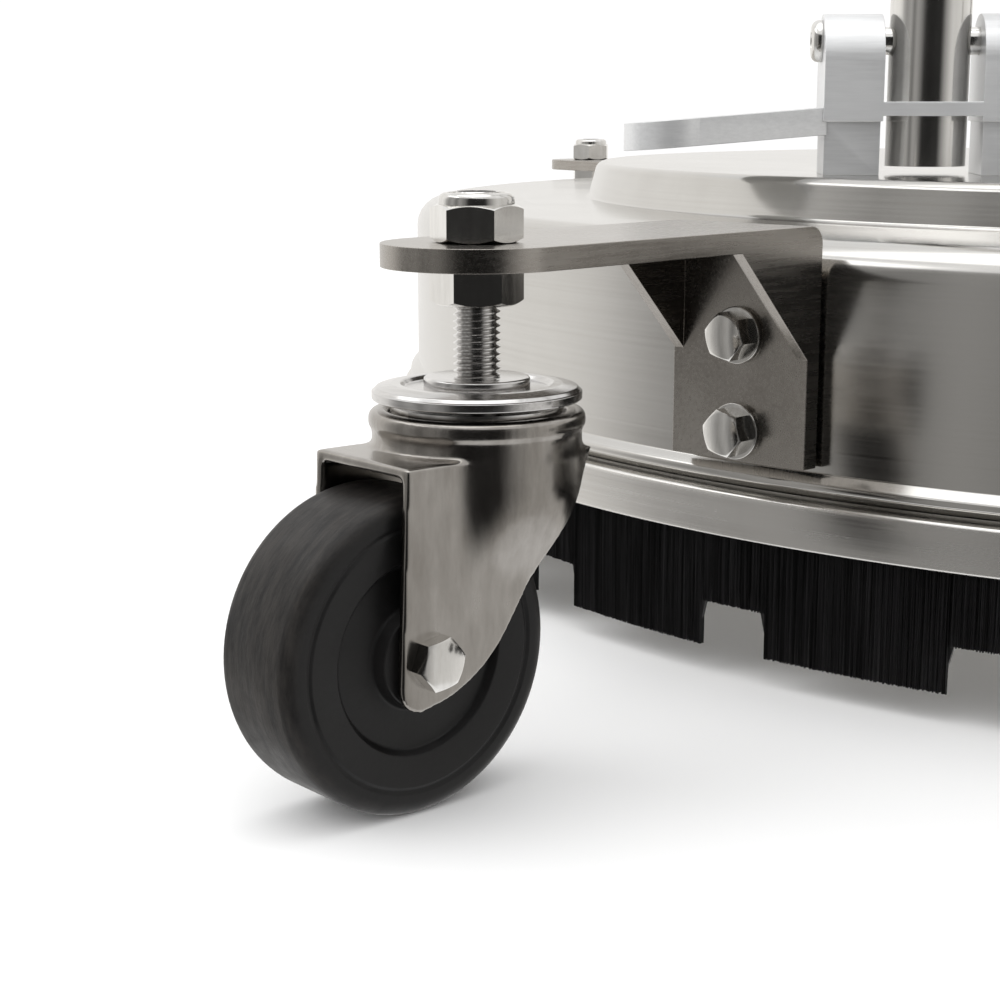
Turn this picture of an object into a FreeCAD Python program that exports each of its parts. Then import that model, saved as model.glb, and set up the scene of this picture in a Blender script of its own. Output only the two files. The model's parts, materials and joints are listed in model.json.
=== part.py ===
import FreeCAD, Part
import math
import os

# A flat-surface cleaner: a round stainless deck on four swivel casters, with a brush skirt,
# a spinning spray bar under the deck and a push handle that tilts on two clevis mounts.
# Millimetres. +Z is up, +X is the operator's right, +Y is the way the machine is pushed.
# The origin is on the floor, on the deck's axis.

V = FreeCAD.Vector
UP = V(0, 0, 1)
ORIGIN = V(0, 0, 0)

# deck
wall_r = 299.9
wall_top_z = 113.4
sheet = 2.0
shoulder_r = 9.0
plateau_r = 237.2
plateau_z = 125.6
bead_r = 303.5
bead_top_z = 56.8
bead_bottom_z = 50.5
deck_hole_r = 24.0

# brush rim: 24 inches across
rim_r = 304.8
rim_top_z = 49.7
rim_bottom_z = 37.7
rim_inner_r = 289.3
rim_sheet = 2.0
bristle_gap = 0.3
bristle_long_z = 7.3
bristle_short_z = 19.1
notch_count = 27
notch_span_deg = 3.8
notch_first_deg = 230.55

# caster arms
arm_angle_deg = 51.1
stem_ring_r = 398.3
arm_top_z = 117.3
arm_thick = 5.0
arm_half_width = 20.4
arm_gap = 0.8
plate_bottom_z = 58.3
gusset_leg = 27.0
gusset_thick = 3.0
bolt_z = (65.9, 89.9)
bolt_d = 8.0
washer_thick = 1.6

# casters
wheel_d = 68.0
wheel_width = 24.8
trail = 24.7
stem_d = 10.0
stem_top_z = 127.9
cap_r = 22.2
cap_bottom_z = 83.1
cap_top_z = 89.5
crown_r = 20.8
fork_top_z = 74.6
crown_rise = 5.6
fork_sheet = 2.2
fork_inner = 27.6
axle_d = 8.0
nut_af = 17.3

# handle mounts and handle
leg_x = 135.0
pivot_y = -132.8
pivot_z = 163.7
cheek_thick = 17.0
cheek_gap = 28.0
cheek_depth = 28.0
cheek_top_z = 171.4
link_bottom_z = 142.4
link_thick = 4.0
outrigger_end = (210.0, -150.0)
outrigger_thick = 7.8
leg_d = 23.4
leg_bottom_z = 128.0
pivot_bolt_d = 8.0
fork_bend_z = 415.0
fork_bend_r = 60.0
tee_bottom_z = 458.0
tee_top_z = 990.0
tee_d = 28.0
tube_wall = 1.6
weld_depth = 2.0
bar_half = 230.0
bar_d = 25.4

# the upright stands in front of the crossbar, coped round it by the weld depth
tee_y = pivot_y + leg_d / 2 + tee_d / 2 - weld_depth

# swivel and spray bar
swivel_r = 22.0
swivel_flange_r = 44.0
swivel_top_z = 191.5
inlet_r = 8.3
inlet_depth = 16.0
spindle_r = 8.0
hub_z = 77.5
bar_reach = 245.0
spray_tube_d = 12.7
tip_bend_r = 26.0
socket_z = hub_z - tip_bend_r - 4.0
socket_depth = 7.0

casters = {
    "rear_left": 180.0 + arm_angle_deg,
    "rear_right": -arm_angle_deg,
    "front_left": 180.0 - arm_angle_deg,
    "front_right": arm_angle_deg,
}
trail_heading = {"rear_left": 225.0, "rear_right": -45.0, "front_left": 135.0, "front_right": 45.0}


def polar(radius, angle_deg, z=0.0):
    angle = math.radians(angle_deg)
    return V(radius * math.cos(angle), radius * math.sin(angle), z)


def turned(shape, angle_deg, centre=ORIGIN):
    copy = shape.copy()
    copy.rotate(centre, UP, angle_deg)
    return copy


def cylinder(radius, start, end):
    along = end - start
    return Part.makeCylinder(radius, along.Length, start, along)


def outline_face(path):
    """A face from points, where ("arc", middle, end) makes a round stretch."""
    edges = []
    first = path[0]
    here = first
    for step in path[1:] + [first]:
        if isinstance(step, tuple):
            edges.append(Part.Arc(here, step[1], step[2]).toShape())
            here = step[2]
        elif (step - here).Length > 1e-6:
            edges.append(Part.LineSegment(here, step).toShape())
            here = step
    return Part.Face(Part.Wire(edges))


def spun(path):
    """Revolve an outline drawn in the X-Z plane about the Z axis."""
    return outline_face(path).revolve(ORIGIN, UP, 360)


def rz(radius, z):
    return V(radius, 0, z)


def hexagon(across_flats, height, base, direction, turn_deg=0.0):
    """A hexagonal prism with both ends chamfered to a circle."""
    corner = across_flats / math.sqrt(3)
    points = [polar(corner, 60 * i + turn_deg) for i in range(7)]
    prism = Part.Face(Part.makePolygon(points)).extrude(V(0, 0, height))
    bevel = 0.62 * (corner - across_flats / 2)
    body = spun([
        rz(0, 0), rz(corner - bevel * 2.2, 0), rz(corner, bevel),
        rz(corner, height - bevel), rz(corner - bevel * 2.2, height), rz(0, height),
    ])
    shape = prism.common(body)
    shape.Placement = FreeCAD.Placement(base, FreeCAD.Rotation(UP, direction))
    return shape


def save(name, shape):
    if isinstance(shape, list):
        shape = Part.makeCompound(shape)
    shape.exportStep("parts/" + name + ".step")


# ---------------------------------------------------------------- deck and brush

def deck_band():
    """Rolled wall of the deck, beaded outwards at its foot and flanged in over the brush rim."""
    flange_r = rim_inner_r + 2.0
    inner_wall = wall_r - sheet
    top = wall_top_z - shoulder_r
    band = spun([
        rz(wall_r, top), rz(wall_r, bead_top_z),
        ("arc", rz(bead_r, (bead_top_z + bead_bottom_z) / 2), rz(wall_r, bead_bottom_z)),
        rz(flange_r, bead_bottom_z), rz(flange_r, bead_bottom_z + sheet),
        rz(inner_wall, bead_bottom_z + sheet), rz(inner_wall, top),
    ])
    for angle in casters.values():
        for z in bolt_z:
            band = band.cut(cylinder(bolt_d / 2 + 0.1, polar(wall_r - 12, angle, z),
                                     polar(wall_r + 12, angle, z)))
    return band


def deck_pan():
    """Spun top of the deck: rounded shoulder, flat ring and raised plateau."""
    lip = 1.6
    side_z = wall_top_z + 2.0
    inner_top = wall_top_z - sheet
    mid = math.sqrt(0.5)
    shoulder_c = rz(wall_r - shoulder_r, wall_top_z - shoulder_r)
    inner_bend = shoulder_r - sheet
    pan = spun([
        rz(deck_hole_r, plateau_z),
        rz(plateau_r - 5.0, plateau_z),
        ("arc", rz(plateau_r - 2.2, plateau_z - 1.0), rz(plateau_r - 1.0, plateau_z - 3.6)),
        rz(plateau_r + 0.6, side_z + 1.6),
        ("arc", rz(plateau_r + 1.4, side_z - 1.2), rz(plateau_r + 1.6 + lip, wall_top_z)),
        rz(shoulder_c.x, wall_top_z),
        ("arc", shoulder_c + V(mid, 0, mid) * shoulder_r, rz(wall_r, shoulder_c.z)),
        rz(wall_r - sheet, shoulder_c.z),
        ("arc", shoulder_c + V(mid, 0, mid) * inner_bend, rz(shoulder_c.x, inner_top)),
        rz(plateau_r - 0.4, inner_top),
        rz(plateau_r - 3.4, plateau_z - sheet - 1.0),
        rz(plateau_r - 6.0, plateau_z - sheet),
        rz(deck_hole_r, plateau_z - sheet),
    ])
    for x, y in mount_screw_places():
        pan = pan.cut(cylinder(3.1, V(x, y, wall_top_z - 9), V(x, y, plateau_z + 9)))
    for place in swivel_screw_places():
        pan = pan.cut(cylinder(3.1, place - UP * 9, place + UP * 9))
    return pan


def rim_ring():
    """The inverted channel that carries the bristles, hemmed outside."""
    outer = rim_r
    top = rim_top_z
    low = rim_bottom_z
    inside = rim_r - rim_sheet
    web = top - rim_sheet
    outline = [
        rz(rim_inner_r, low), rz(rim_inner_r, top), rz(outer - 1.2, top),
        ("arc", rz(outer - 0.35, top - 0.35), rz(outer, top - 1.2)),
        rz(outer, low + 0.9), rz(outer - 0.6, low), rz(inside, low),
        rz(inside, web), rz(rim_inner_r + rim_sheet, web), rz(rim_inner_r + rim_sheet, low),
    ]
    ring = spun(outline)
    collar = Part.makeCylinder(wall_r - 3, bead_bottom_z - rim_top_z, rz(0, rim_top_z), UP)
    hole = Part.makeCylinder(rim_inner_r + 2, 40, rz(0, rim_top_z - 20), UP)
    return ring.fuse(collar.cut(hole))


def brush_skirt():
    """The bristle band: long all round, with short stretches that let air in."""
    inner = rim_inner_r + rim_sheet + bristle_gap
    outer = rim_r - rim_sheet - bristle_gap
    height = rim_top_z - rim_sheet - bristle_long_z
    band = Part.makeCylinder(outer, height, rz(0, bristle_long_z), UP)
    band = band.cut(Part.makeCylinder(inner, height, rz(0, bristle_long_z), UP))
    notches = []
    depth = bristle_short_z - bristle_long_z
    for i in range(notch_count):
        middle = notch_first_deg + i * 360.0 / notch_count
        edges = [polar(400, middle - notch_span_deg / 2), polar(400, middle + notch_span_deg / 2)]
        wedge = Part.Face(Part.makePolygon([ORIGIN, edges[0], edges[1], ORIGIN]))
        wedge.translate(V(0, 0, bristle_long_z))
        notches.append(wedge.extrude(V(0, 0, depth)))
    return band.cut(Part.makeCompound(notches))


# ---------------------------------------------------------------- caster arms

def caster_arm():
    """Bent plate with two gussets; drawn with its arm along +X from the deck's wall."""
    back = wall_r + arm_gap
    front = back + arm_thick
    low = arm_top_z - arm_thick
    width = arm_half_width
    bend = 4.5
    side = outline_face([
        rz(back, plate_bottom_z), rz(back, arm_top_z - bend),
        ("arc", rz(back + bend * 0.293, arm_top_z - bend * 0.293), rz(back + bend, arm_top_z)),
        rz(stem_ring_r, arm_top_z), rz(stem_ring_r, low), rz(front, low),
        rz(front, plate_bottom_z),
    ])
    side.translate(V(0, -width, 0))
    arm = side.extrude(V(0, 2 * width, 0))
    end = Part.makeCylinder(width, arm_thick, V(stem_ring_r, 0, low), UP)
    arm = arm.fuse(end)
    for y in (-width, width - gusset_thick):
        web = Part.Face(Part.makePolygon([
            V(front - 1, y, low + 1), V(front + gusset_leg, y, low + 1),
            V(front + gusset_leg, y, low), V(front, y, low - gusset_leg),
            V(front - 1, y, low - gusset_leg), V(front - 1, y, low + 1),
        ]))
        arm = arm.fuse(web.extrude(V(0, gusset_thick, 0)))
    arm = arm.cut(Part.makeCylinder(stem_d / 2 + 0.25, 40, V(stem_ring_r, 0, low - 20), UP))
    for z in bolt_z:
        arm = arm.cut(cylinder(bolt_d / 2 + 0.1, V(back - 5, 0, z), V(front + 5, 0, z)))
    return arm.removeSplitter()


def arm_bolt(z):
    seat = wall_r + arm_gap + arm_thick + washer_thick
    head = hexagon(13.0, 5.3, V(seat, 0, z), V(1, 0, 0), 17)
    shank = cylinder(bolt_d / 2 - 0.05, V(wall_r - 16, 0, z), V(seat + 1, 0, z))
    return head.fuse(shank)


def arm_washer(z):
    face = wall_r + arm_gap + arm_thick
    disc = cylinder(7.1, V(face, 0, z), V(face + washer_thick, 0, z))
    return disc.cut(cylinder(bolt_d / 2, V(face - 1, 0, z), V(face + 3, 0, z)))


def arm_nut(z):
    seat = wall_r - sheet - 2.0
    nut = hexagon(13.0, 6.8, V(seat, 0, z), V(-1, 0, 0), 17)
    pad = cylinder(8.0, V(seat, 0, z), V(wall_r - sheet - 0.3, 0, z))
    bore = cylinder(bolt_d / 2, V(seat - 10, 0, z), V(seat + 10, 0, z))
    return nut.fuse(pad).cut(bore)


# ---------------------------------------------------------------- casters

def at_stem(shape, name):
    """Turn a caster part drawn about the Z axis to its heading, then move it to its stem."""
    placed = turned(shape, trail_heading[name])
    placed.translate(polar(stem_ring_r, casters[name]))
    return placed


def caster_stem():
    seat = fork_top_z - fork_sheet - 0.1
    neck = 5.53
    thread = cylinder(stem_d / 2, rz(0, seat + 3.0), rz(0, stem_top_z))
    thread = thread.fuse(spun([
        rz(0, cap_top_z - 1.2), rz(10.2, cap_top_z - 1.2), rz(10.2, cap_top_z + 0.5),
        rz(9.4, cap_top_z + 1.2), rz(0, cap_top_z + 1.2),
    ]))
    foot = spun([
        rz(0, seat - 2.0), rz(9.0, seat - 2.0), rz(9.0, seat),
        rz(neck, seat), rz(neck, seat + 3.6), rz(0, seat + 3.6),
    ])
    return thread.fuse(foot).removeSplitter()


def swivel_cap():
    """The round upper race of the swivel, dished in the middle."""
    low = cap_bottom_z
    top = cap_top_z
    return spun([
        rz(5.15, low), rz(cap_r - 2.2, low),
        ("arc", rz(cap_r - 0.2, low + 1.2), rz(cap_r, low + 3.0)),
        ("arc", rz(cap_r - 1.2, top - 0.9), rz(cap_r - 4.0, top)),
        ("arc", rz(cap_r - 5.2, top - 0.3), rz(cap_r - 6.2, top - 1.2)),
        rz(5.15, top - 1.2),
    ])


def ball_race():
    """Ring of balls and their seat, held under the cap above the fork's crown."""
    low = fork_top_z + crown_rise + 0.3
    return spun([
        rz(13.6, cap_bottom_z), rz(13.6, low + 1.2), rz(14.8, low), rz(17.4, low),
        rz(18.6, low + 1.2), rz(18.6, cap_bottom_z),
    ])


def stem_lock_nut():
    nut = hexagon(nut_af, 8.0, rz(0, arm_top_z), UP, 12)
    collar = spun([
        rz(0, 6.5), rz(7.9, 6.5), rz(7.9, 9.0), ("arc", rz(7.5, 10.0), rz(6.5, 10.4)), rz(0, 10.4),
    ])
    collar.translate(rz(0, arm_top_z))
    return nut.fuse(collar).cut(cylinder(stem_d / 2, rz(0, 60), rz(0, 160)))


def stem_jam_nut():
    seat = arm_top_z - arm_thick - 8.0
    nut = hexagon(nut_af, 8.0, rz(0, seat), UP, 22)
    return nut.cut(cylinder(stem_d / 2, rz(0, 60), rz(0, 160)))


def caster_fork():
    """Pressed yoke: a round crown that turns on the race, and two cheeks down to the axle."""
    half = fork_inner / 2
    outer = half + fork_sheet
    under = fork_top_z - fork_sheet
    front = 31.0
    skirt_z = 62.0
    axle_z = wheel_d / 2
    bore = 5.6
    rise = fork_top_z + crown_rise
    toe = V(trail + 8.3, 0, axle_z - 5.0)
    heel = V(trail - 20.0, 0, axle_z + 3.6)
    profile = outline_face([
        V(front, 0, fork_top_z), toe,
        ("arc", V(trail + 6.6, 0, axle_z - 9.0), V(trail + 2.8, 0, axle_z - 10.4)),
        V(trail - 3.5, 0, axle_z - 9.0),
        ("arc", V(trail - 12.6, 0, axle_z - 4.2), heel),
        V(-13.8, 0, skirt_z + 4.0), V(-13.8, 0, fork_top_z),
    ])
    cheeks = []
    for y in (-outer, half):
        cheek = profile.copy()
        cheek.translate(V(0, y, 0))
        cheeks.append(cheek.extrude(V(0, fork_sheet, 0)))
    top = Part.makeBox(front, 2 * outer, fork_sheet, V(0, -outer, under))
    crown = spun([
        rz(bore, under), rz(crown_r - fork_sheet, under), rz(crown_r - fork_sheet, skirt_z),
        rz(crown_r, skirt_z), rz(crown_r, rise - 2.4),
        ("arc", rz(crown_r - 0.7, rise - 0.7), rz(crown_r - 2.4, rise)),
        rz(crown_r - 6.0, rise), rz(crown_r - 9.0, fork_top_z + 0.4),
        rz(bore, fork_top_z + 0.4),
    ])
    mouth = Part.makeBox(60, 2 * half, 40, V(0, -half, under - 40))
    fork = top.fuse([crown.cut(mouth)] + cheeks)
    fork = fork.cut(cylinder(bore, rz(0, under - 5), rz(0, fork_top_z + 5)))
    axle_hole = cylinder(axle_d / 2 + 0.05, V(trail, -30, axle_z), V(trail, 30, axle_z))
    return fork.cut(axle_hole).removeSplitter()


def axle_bolt():
    seat = fork_inner / 2 + fork_sheet
    axle_z = wheel_d / 2
    head = hexagon(13.0, 5.3, V(trail, seat, axle_z), V(0, 1, 0), 10)
    shank = cylinder(axle_d / 2, V(trail, -seat - 8.5, axle_z), V(trail, seat + 1, axle_z))
    return head.fuse(shank)


def axle_nut():
    seat = fork_inner / 2 + fork_sheet
    axle_z = wheel_d / 2
    nut = hexagon(13.0, 6.6, V(trail, -seat, axle_z), V(0, -1, 0), 20)
    return nut.cut(cylinder(axle_d / 2, V(trail, -60, axle_z), V(trail, 60, axle_z)))


def axle_bush():
    half = fork_inner / 2 - 0.05
    axle_z = wheel_d / 2
    outer = cylinder(6.0, V(trail, -half, axle_z), V(trail, half, axle_z))
    return outer.cut(cylinder(axle_d / 2, V(trail, -half, axle_z), V(trail, half, axle_z)))


def wheel():
    """Solid rubber wheel with stepped side walls and a hub boss, drawn about its axle."""
    tyre_r = wheel_d / 2
    half = wheel_width / 2
    edge = 3.2
    boss = half + 0.9
    side = [
        rz(6.06, boss), rz(10.5, boss), rz(11.3, half - 2.6), rz(20.0, half - 2.6),
        rz(21.0, half - 0.6), rz(tyre_r - edge - 3.0, half),
        rz(tyre_r - edge, half),
        ("arc", rz(tyre_r - 0.9, half - 0.95), rz(tyre_r, half - edge)),
        rz(tyre_r, edge - half),
        ("arc", rz(tyre_r - 0.9, 0.95 - half), rz(tyre_r - edge, -half)),
        rz(tyre_r - edge - 3.0, -half), rz(21.0, 0.6 - half),
        rz(20.0, 2.6 - half), rz(11.3, 2.6 - half), rz(10.5, -boss), rz(6.06, -boss),
    ]
    disc = spun(side)
    disc.Placement = FreeCAD.Placement(V(trail, 0, tyre_r), FreeCAD.Rotation(UP, V(0, 1, 0)))
    return disc


# ---------------------------------------------------------------- handle mounts

def mount_screw_places():
    inner = leg_x - cheek_gap / 2 - cheek_thick / 2
    outer = leg_x + cheek_gap / 2 + cheek_thick / 2
    places = []
    for sign in (-1, 1):
        places += [(sign * inner, pivot_y), (sign * outer, pivot_y)]
    return places


def handle_mount(sign):
    """Clevis for one handle leg: two round-topped cheeks, a notched link and an outrigger."""
    reach = cheek_depth / 2
    spring_z = cheek_top_z - reach
    solids = []
    for x in (leg_x - cheek_gap / 2 - cheek_thick, leg_x + cheek_gap / 2):
        face = outline_face([
            V(x, pivot_y - reach, link_bottom_z - 1.5), V(x, pivot_y - reach, spring_z),
            ("arc", V(x, pivot_y, cheek_top_z), V(x, pivot_y + reach, spring_z)),
            V(x, pivot_y + reach, link_bottom_z - 1.5),
        ])
        solids.append(face.extrude(V(cheek_thick, 0, 0)))
        foot_h = link_bottom_z - plateau_z
        foot = Part.makeBox(cheek_thick - 1.0, cheek_depth - 4.0, foot_h,
                            V(x + 0.5, pivot_y - reach + 2.0, plateau_z))
        solids.append(foot)
    link = Part.makeBox(cheek_gap + 2, cheek_depth - 1, link_thick,
                        V(leg_x - cheek_gap / 2 - 1, pivot_y - reach, link_bottom_z))
    slot_half = leg_d / 2 + 0.4
    slot = Part.makeBox(2 * slot_half, 60, 20, V(leg_x - slot_half, pivot_y, link_bottom_z - 8))
    slot = slot.fuse(Part.makeCylinder(slot_half, 20, V(leg_x, pivot_y, link_bottom_z - 8), UP))
    solids.append(link.cut(slot))
    solids.append(outrigger())
    body = solids[0].fuse(solids[1:])
    for x, y in mount_screw_places():
        if x > 0:
            body = body.cut(cylinder(2.5, V(x, y, plateau_z - 1), V(x, y, plateau_z + 12)))
    left = leg_x - 40
    body = body.cut(cylinder(pivot_bolt_d / 2, V(left, pivot_y, pivot_z),
                             V(leg_x + 40, pivot_y, pivot_z)))
    body = body.removeSplitter()
    if sign < 0:
        body = body.mirror(ORIGIN, V(1, 0, 0))
    return body


def outrigger():
    """Sloping flat bar with a round end, standing out from the outer cheek."""
    start_x = leg_x + cheek_gap / 2 + cheek_thick - 1
    reach = cheek_depth / 2 - 1
    thick = outrigger_thick
    start_z = 137.0
    end_z = 132.5
    end_x, end_y = outrigger_end
    slab = Part.Face(Part.makePolygon([
        V(start_x, 0, start_z),
        V(end_x + reach, 0, end_z),
        V(end_x + reach, 0, end_z + thick),
        V(start_x, 0, start_z + thick),
        V(start_x, 0, start_z),
    ]))
    slab.translate(V(0, end_y - 2 * reach, 0))
    slab = slab.extrude(V(0, pivot_y - end_y + 4 * reach, 0))
    low = wall_top_z
    plan = Part.makeCylinder(reach, 60, V(end_x, end_y, low), UP)
    arm = Part.Face(Part.makePolygon([
        V(start_x, pivot_y - reach, low), V(end_x, end_y - reach, low),
        V(end_x, end_y + reach, low), V(start_x, pivot_y + reach, low),
        V(start_x, pivot_y - reach, low),
    ]))
    plan = plan.fuse(arm.extrude(V(0, 0, 60)))
    return slab.common(plan)


def mount_screw(x, y):
    """Pan-head screw from below the plateau into a mount foot."""
    under = plateau_z - sheet
    head = cylinder(5.5, V(x, y, under - 3.2), V(x, y, under))
    return head.fuse(cylinder(2.5, V(x, y, under - 1), V(x, y, plateau_z + 11)))


def pivot_bolt(sign):
    outer = leg_x + cheek_gap / 2 + cheek_thick
    inner = leg_x - cheek_gap / 2 - cheek_thick
    head = spun([
        rz(0, 0), rz(6.0, 0), rz(6.0, 1.0), ("arc", rz(5.0, 2.6), rz(2.8, 3.2)), rz(0, 3.2),
    ])
    turn = FreeCAD.Rotation(UP, V(1, 0, 0))
    head.Placement = FreeCAD.Placement(V(outer, pivot_y, pivot_z), turn)
    tail = hexagon(13.0, 6.5, V(inner, pivot_y, pivot_z), V(-1, 0, 0), 5)
    shank = cylinder(pivot_bolt_d / 2 - 0.03, V(inner - 1, pivot_y, pivot_z),
                     V(outer + 1, pivot_y, pivot_z))
    bolt = head.fuse([tail, shank])
    if sign < 0:
        bolt = bolt.mirror(ORIGIN, V(1, 0, 0))
    return bolt


# ---------------------------------------------------------------- handle

def handle_fork():
    """The U of tube: two legs, two bends and the crossbar."""
    bend_mid = math.sqrt(0.5)
    centre = V(leg_x - fork_bend_r, pivot_y, fork_bend_z)
    knee = centre + V(bend_mid, 0, bend_mid) * fork_bend_r
    top = centre + V(0, 0, fork_bend_r)
    mirror_x = FreeCAD.Matrix()
    mirror_x.A11 = -1
    left = [mirror_x.multVec(p) for p in (top, knee, centre + V(fork_bend_r, 0, 0))]
    path = Part.Wire([
        Part.LineSegment(V(leg_x, pivot_y, leg_bottom_z), centre + V(fork_bend_r, 0, 0)).toShape(),
        Part.Arc(centre + V(fork_bend_r, 0, 0), knee, top).toShape(),
        Part.LineSegment(top, left[0]).toShape(),
        Part.Arc(left[0], left[1], left[2]).toShape(),
        Part.LineSegment(left[2], V(-leg_x, pivot_y, leg_bottom_z)).toShape(),
    ])
    section = Part.Wire(Part.makeCircle(leg_d / 2, V(leg_x, pivot_y, leg_bottom_z), UP))
    bore = Part.Wire(Part.makeCircle(leg_d / 2 - tube_wall, V(leg_x, pivot_y, leg_bottom_z), UP))
    tube = path.makePipeShell([section], True, False)
    tube = tube.cut(path.makePipeShell([bore], True, False))
    start = V(-leg_x - 40, pivot_y, pivot_z)
    return tube.cut(cylinder(pivot_bolt_d / 2 + 0.05, start, start + V(2 * leg_x + 80, 0, 0)))


def handle_tee():
    """Upright tube welded in front of the crossbar, with the grip bar across its top."""
    upright = cylinder(tee_d / 2, V(0, tee_y, tee_bottom_z), V(0, tee_y, tee_top_z))
    bar = cylinder(bar_d / 2, V(-bar_half, tee_y, tee_top_z), V(bar_half, tee_y, tee_top_z))
    upright_r = tee_d / 2 - tube_wall
    bar_r = bar_d / 2 - tube_wall
    floor = V(0, tee_y, tee_bottom_z + tube_wall)
    hollow = cylinder(upright_r, floor, V(0, tee_y, tee_top_z))
    hollow = hollow.fuse(cylinder(bar_r, V(-bar_half, tee_y, tee_top_z),
                                  V(bar_half, tee_y, tee_top_z)))
    crossbar_z = fork_bend_z + fork_bend_r
    cope = cylinder(leg_d / 2, V(-40, pivot_y, crossbar_z), V(40, pivot_y, crossbar_z))
    return upright.fuse(bar).cut(hollow).cut(cope)


def grip(sign):
    """Ribbed rubber sleeve over one end of the grip bar."""
    length = 125.0
    bore = bar_d / 2 + 0.03
    outer = bar_d / 2 + 3.4
    outline = [rz(bore, 0), rz(outer + 2.4, 0), rz(outer + 2.4, 3.5), rz(outer, 6.0)]
    ribs = 9
    pitch = (length - 24.0) / ribs
    for i in range(ribs):
        base = 10.0 + i * pitch
        outline += [rz(outer, base), rz(outer - 0.9, base + 1.4), rz(outer - 0.9, base + 4.2),
                    rz(outer, base + 5.6)]
    outline += [rz(outer, length - 3), rz(outer - 3, length), rz(0, length), rz(0, length - 3.0),
                rz(bore, length - 3.0)]
    sleeve = spun(outline)
    start = bar_half + 3.1 - length
    sleeve.Placement = FreeCAD.Placement(V(start, tee_y, tee_top_z), FreeCAD.Rotation(UP, V(1, 0, 0)))
    if sign < 0:
        sleeve = sleeve.mirror(ORIGIN, V(1, 0, 0))
    return sleeve


gun_y = tee_y + tee_d / 2
gun_pivot = V(0, gun_y + 47.0, 872.0)


def gun_body():
    """Trigger valve clamped in front of the upright: barrel, loop guard and inlet socket."""
    half = 13.0
    outline = [
        (-9, 790), (-9, 905), (22, 925), (52, 912), (60, 880), (44, 862),
        (28, 852), (26, 802), (60, 790), (60, 776), (20, 770),
    ]
    face = outline_face([V(-half, gun_y + out, z) for out, z in outline])
    body = face.extrude(V(2 * half, 0, 0))
    edges = [e for e in body.Edges if abs(e.Vertexes[0].X) > 12 and abs(e.Vertexes[1].X) > 12]
    long_edges = [e for e in edges if abs(e.Vertexes[0].X - e.Vertexes[1].X) < 1]
    body = body.makeFillet(4.0, long_edges)
    slot = Part.makeBox(10.0, 60, 78, V(-5, gun_y + 22, 806))
    pin_hole = cylinder(2.5, gun_pivot - V(20, 0, 0), gun_pivot + V(20, 0, 0))
    upright = cylinder(tee_d / 2, V(0, tee_y, 700), V(0, tee_y, 960))
    body = body.cut(slot).cut(pin_hole).cut(upright)
    outlet = V(0, gun_y + 12, 770)
    return body.cut(cylinder(7.1, outlet - UP * 5, outlet + UP * 14))


def trigger():
    """Lever that hangs from its pin in the valve body; drawn from the pin's centre."""
    half = 4.4
    outline = [(-6, 4), (5, 6), (8, -6), (2, -22), (5, -40), (-2, -42), (-7, -22)]
    face = outline_face([gun_pivot + V(-half, out, up) for out, up in outline])
    lever = face.extrude(V(2 * half, 0, 0))
    lever = lever.makeFillet(1.2, lever.Edges)
    pin = cylinder(2.45, gun_pivot - V(12.6, 0, 0), gun_pivot + V(12.6, 0, 0))
    return lever.fuse(pin)


def feed_pipe():
    """Steel pipe from the valve down the upright, with an elbow and a forward nipple for the hose."""
    y = gun_y + 12
    low = 560.0
    bend = 24.0
    reach = 8.0
    centre = V(0, y + bend, low)
    knee = centre + V(0, -math.sqrt(0.5), -math.sqrt(0.5)) * bend
    mouth = centre - UP * bend
    path = Part.Wire([
        Part.LineSegment(V(0, y, 782), V(0, y, low)).toShape(),
        Part.Arc(V(0, y, low), knee, mouth).toShape(),
        Part.LineSegment(mouth, mouth + V(0, reach, 0)).toShape(),
    ])
    pipe = path.makePipeShell([Part.Wire(Part.makeCircle(7.0, V(0, y, 782), UP))], True, False)
    bore = path.makePipeShell([Part.Wire(Part.makeCircle(4.5, V(0, y, 782), UP))], True, False)
    start = mouth + V(0, reach, 0)
    forward = V(0, 1, 0)
    nut = hexagon(22.0, 12.0, start - forward * 2, forward)
    nipple = cylinder(8.2, start + forward * 9, start + forward * 28)
    through = cylinder(4.5, start - forward * 4, start + forward * 30)
    return pipe.fuse([nut, nipple]).cut(bore).cut(through)


# ---------------------------------------------------------------- swivel and spray bar

def swivel_screw_places():
    return [polar(34.0, 45 + 90 * i, plateau_z) for i in range(4)]


def swivel_body():
    """Rotary union housing that stands through the deck's centre hole."""
    under = plateau_z - 16
    flange = plateau_z + 8
    housing = spun([
        rz(0, under), rz(deck_hole_r - 0.4, under), rz(deck_hole_r - 0.4, plateau_z),
        rz(swivel_flange_r, plateau_z), rz(swivel_flange_r, flange - 1.5),
        rz(swivel_flange_r - 1.5, flange), rz(swivel_r + 3, flange),
        ("arc", rz(swivel_r + 0.9, flange + 0.9), rz(swivel_r, flange + 3)),
        rz(swivel_r, swivel_top_z - 24), rz(swivel_r - 4, swivel_top_z - 20), rz(0, swivel_top_z - 20),
    ])
    socket = hexagon(30.0, 22.0, rz(0, swivel_top_z - 22), UP)
    housing = housing.fuse(socket)
    inlet = cylinder(inlet_r, rz(0, swivel_top_z - inlet_depth), rz(0, swivel_top_z))
    passage = cylinder(4.0, rz(0, plateau_z), rz(0, swivel_top_z - inlet_depth))
    chamber = cylinder(17.5, rz(0, under), rz(0, plateau_z + 26))
    housing = housing.cut(inlet).cut(passage).cut(chamber)
    for place in swivel_screw_places():
        housing = housing.cut(cylinder(3.1, place - UP * 20, place + UP * 20))
    return housing


def swivel_screw(place):
    head = cylinder(5.0, place + UP * 8.0, place + UP * 14.0)
    head = head.cut(hexagon(5.0, 4.0, place + UP * 11.0, UP))
    shank = cylinder(3.0, place - UP * 9.0, place + UP * 8.5)
    nut = hexagon(10.0, 5.0, place - UP * (sheet + 5.0), UP)
    return head.fuse([shank, nut])


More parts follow.
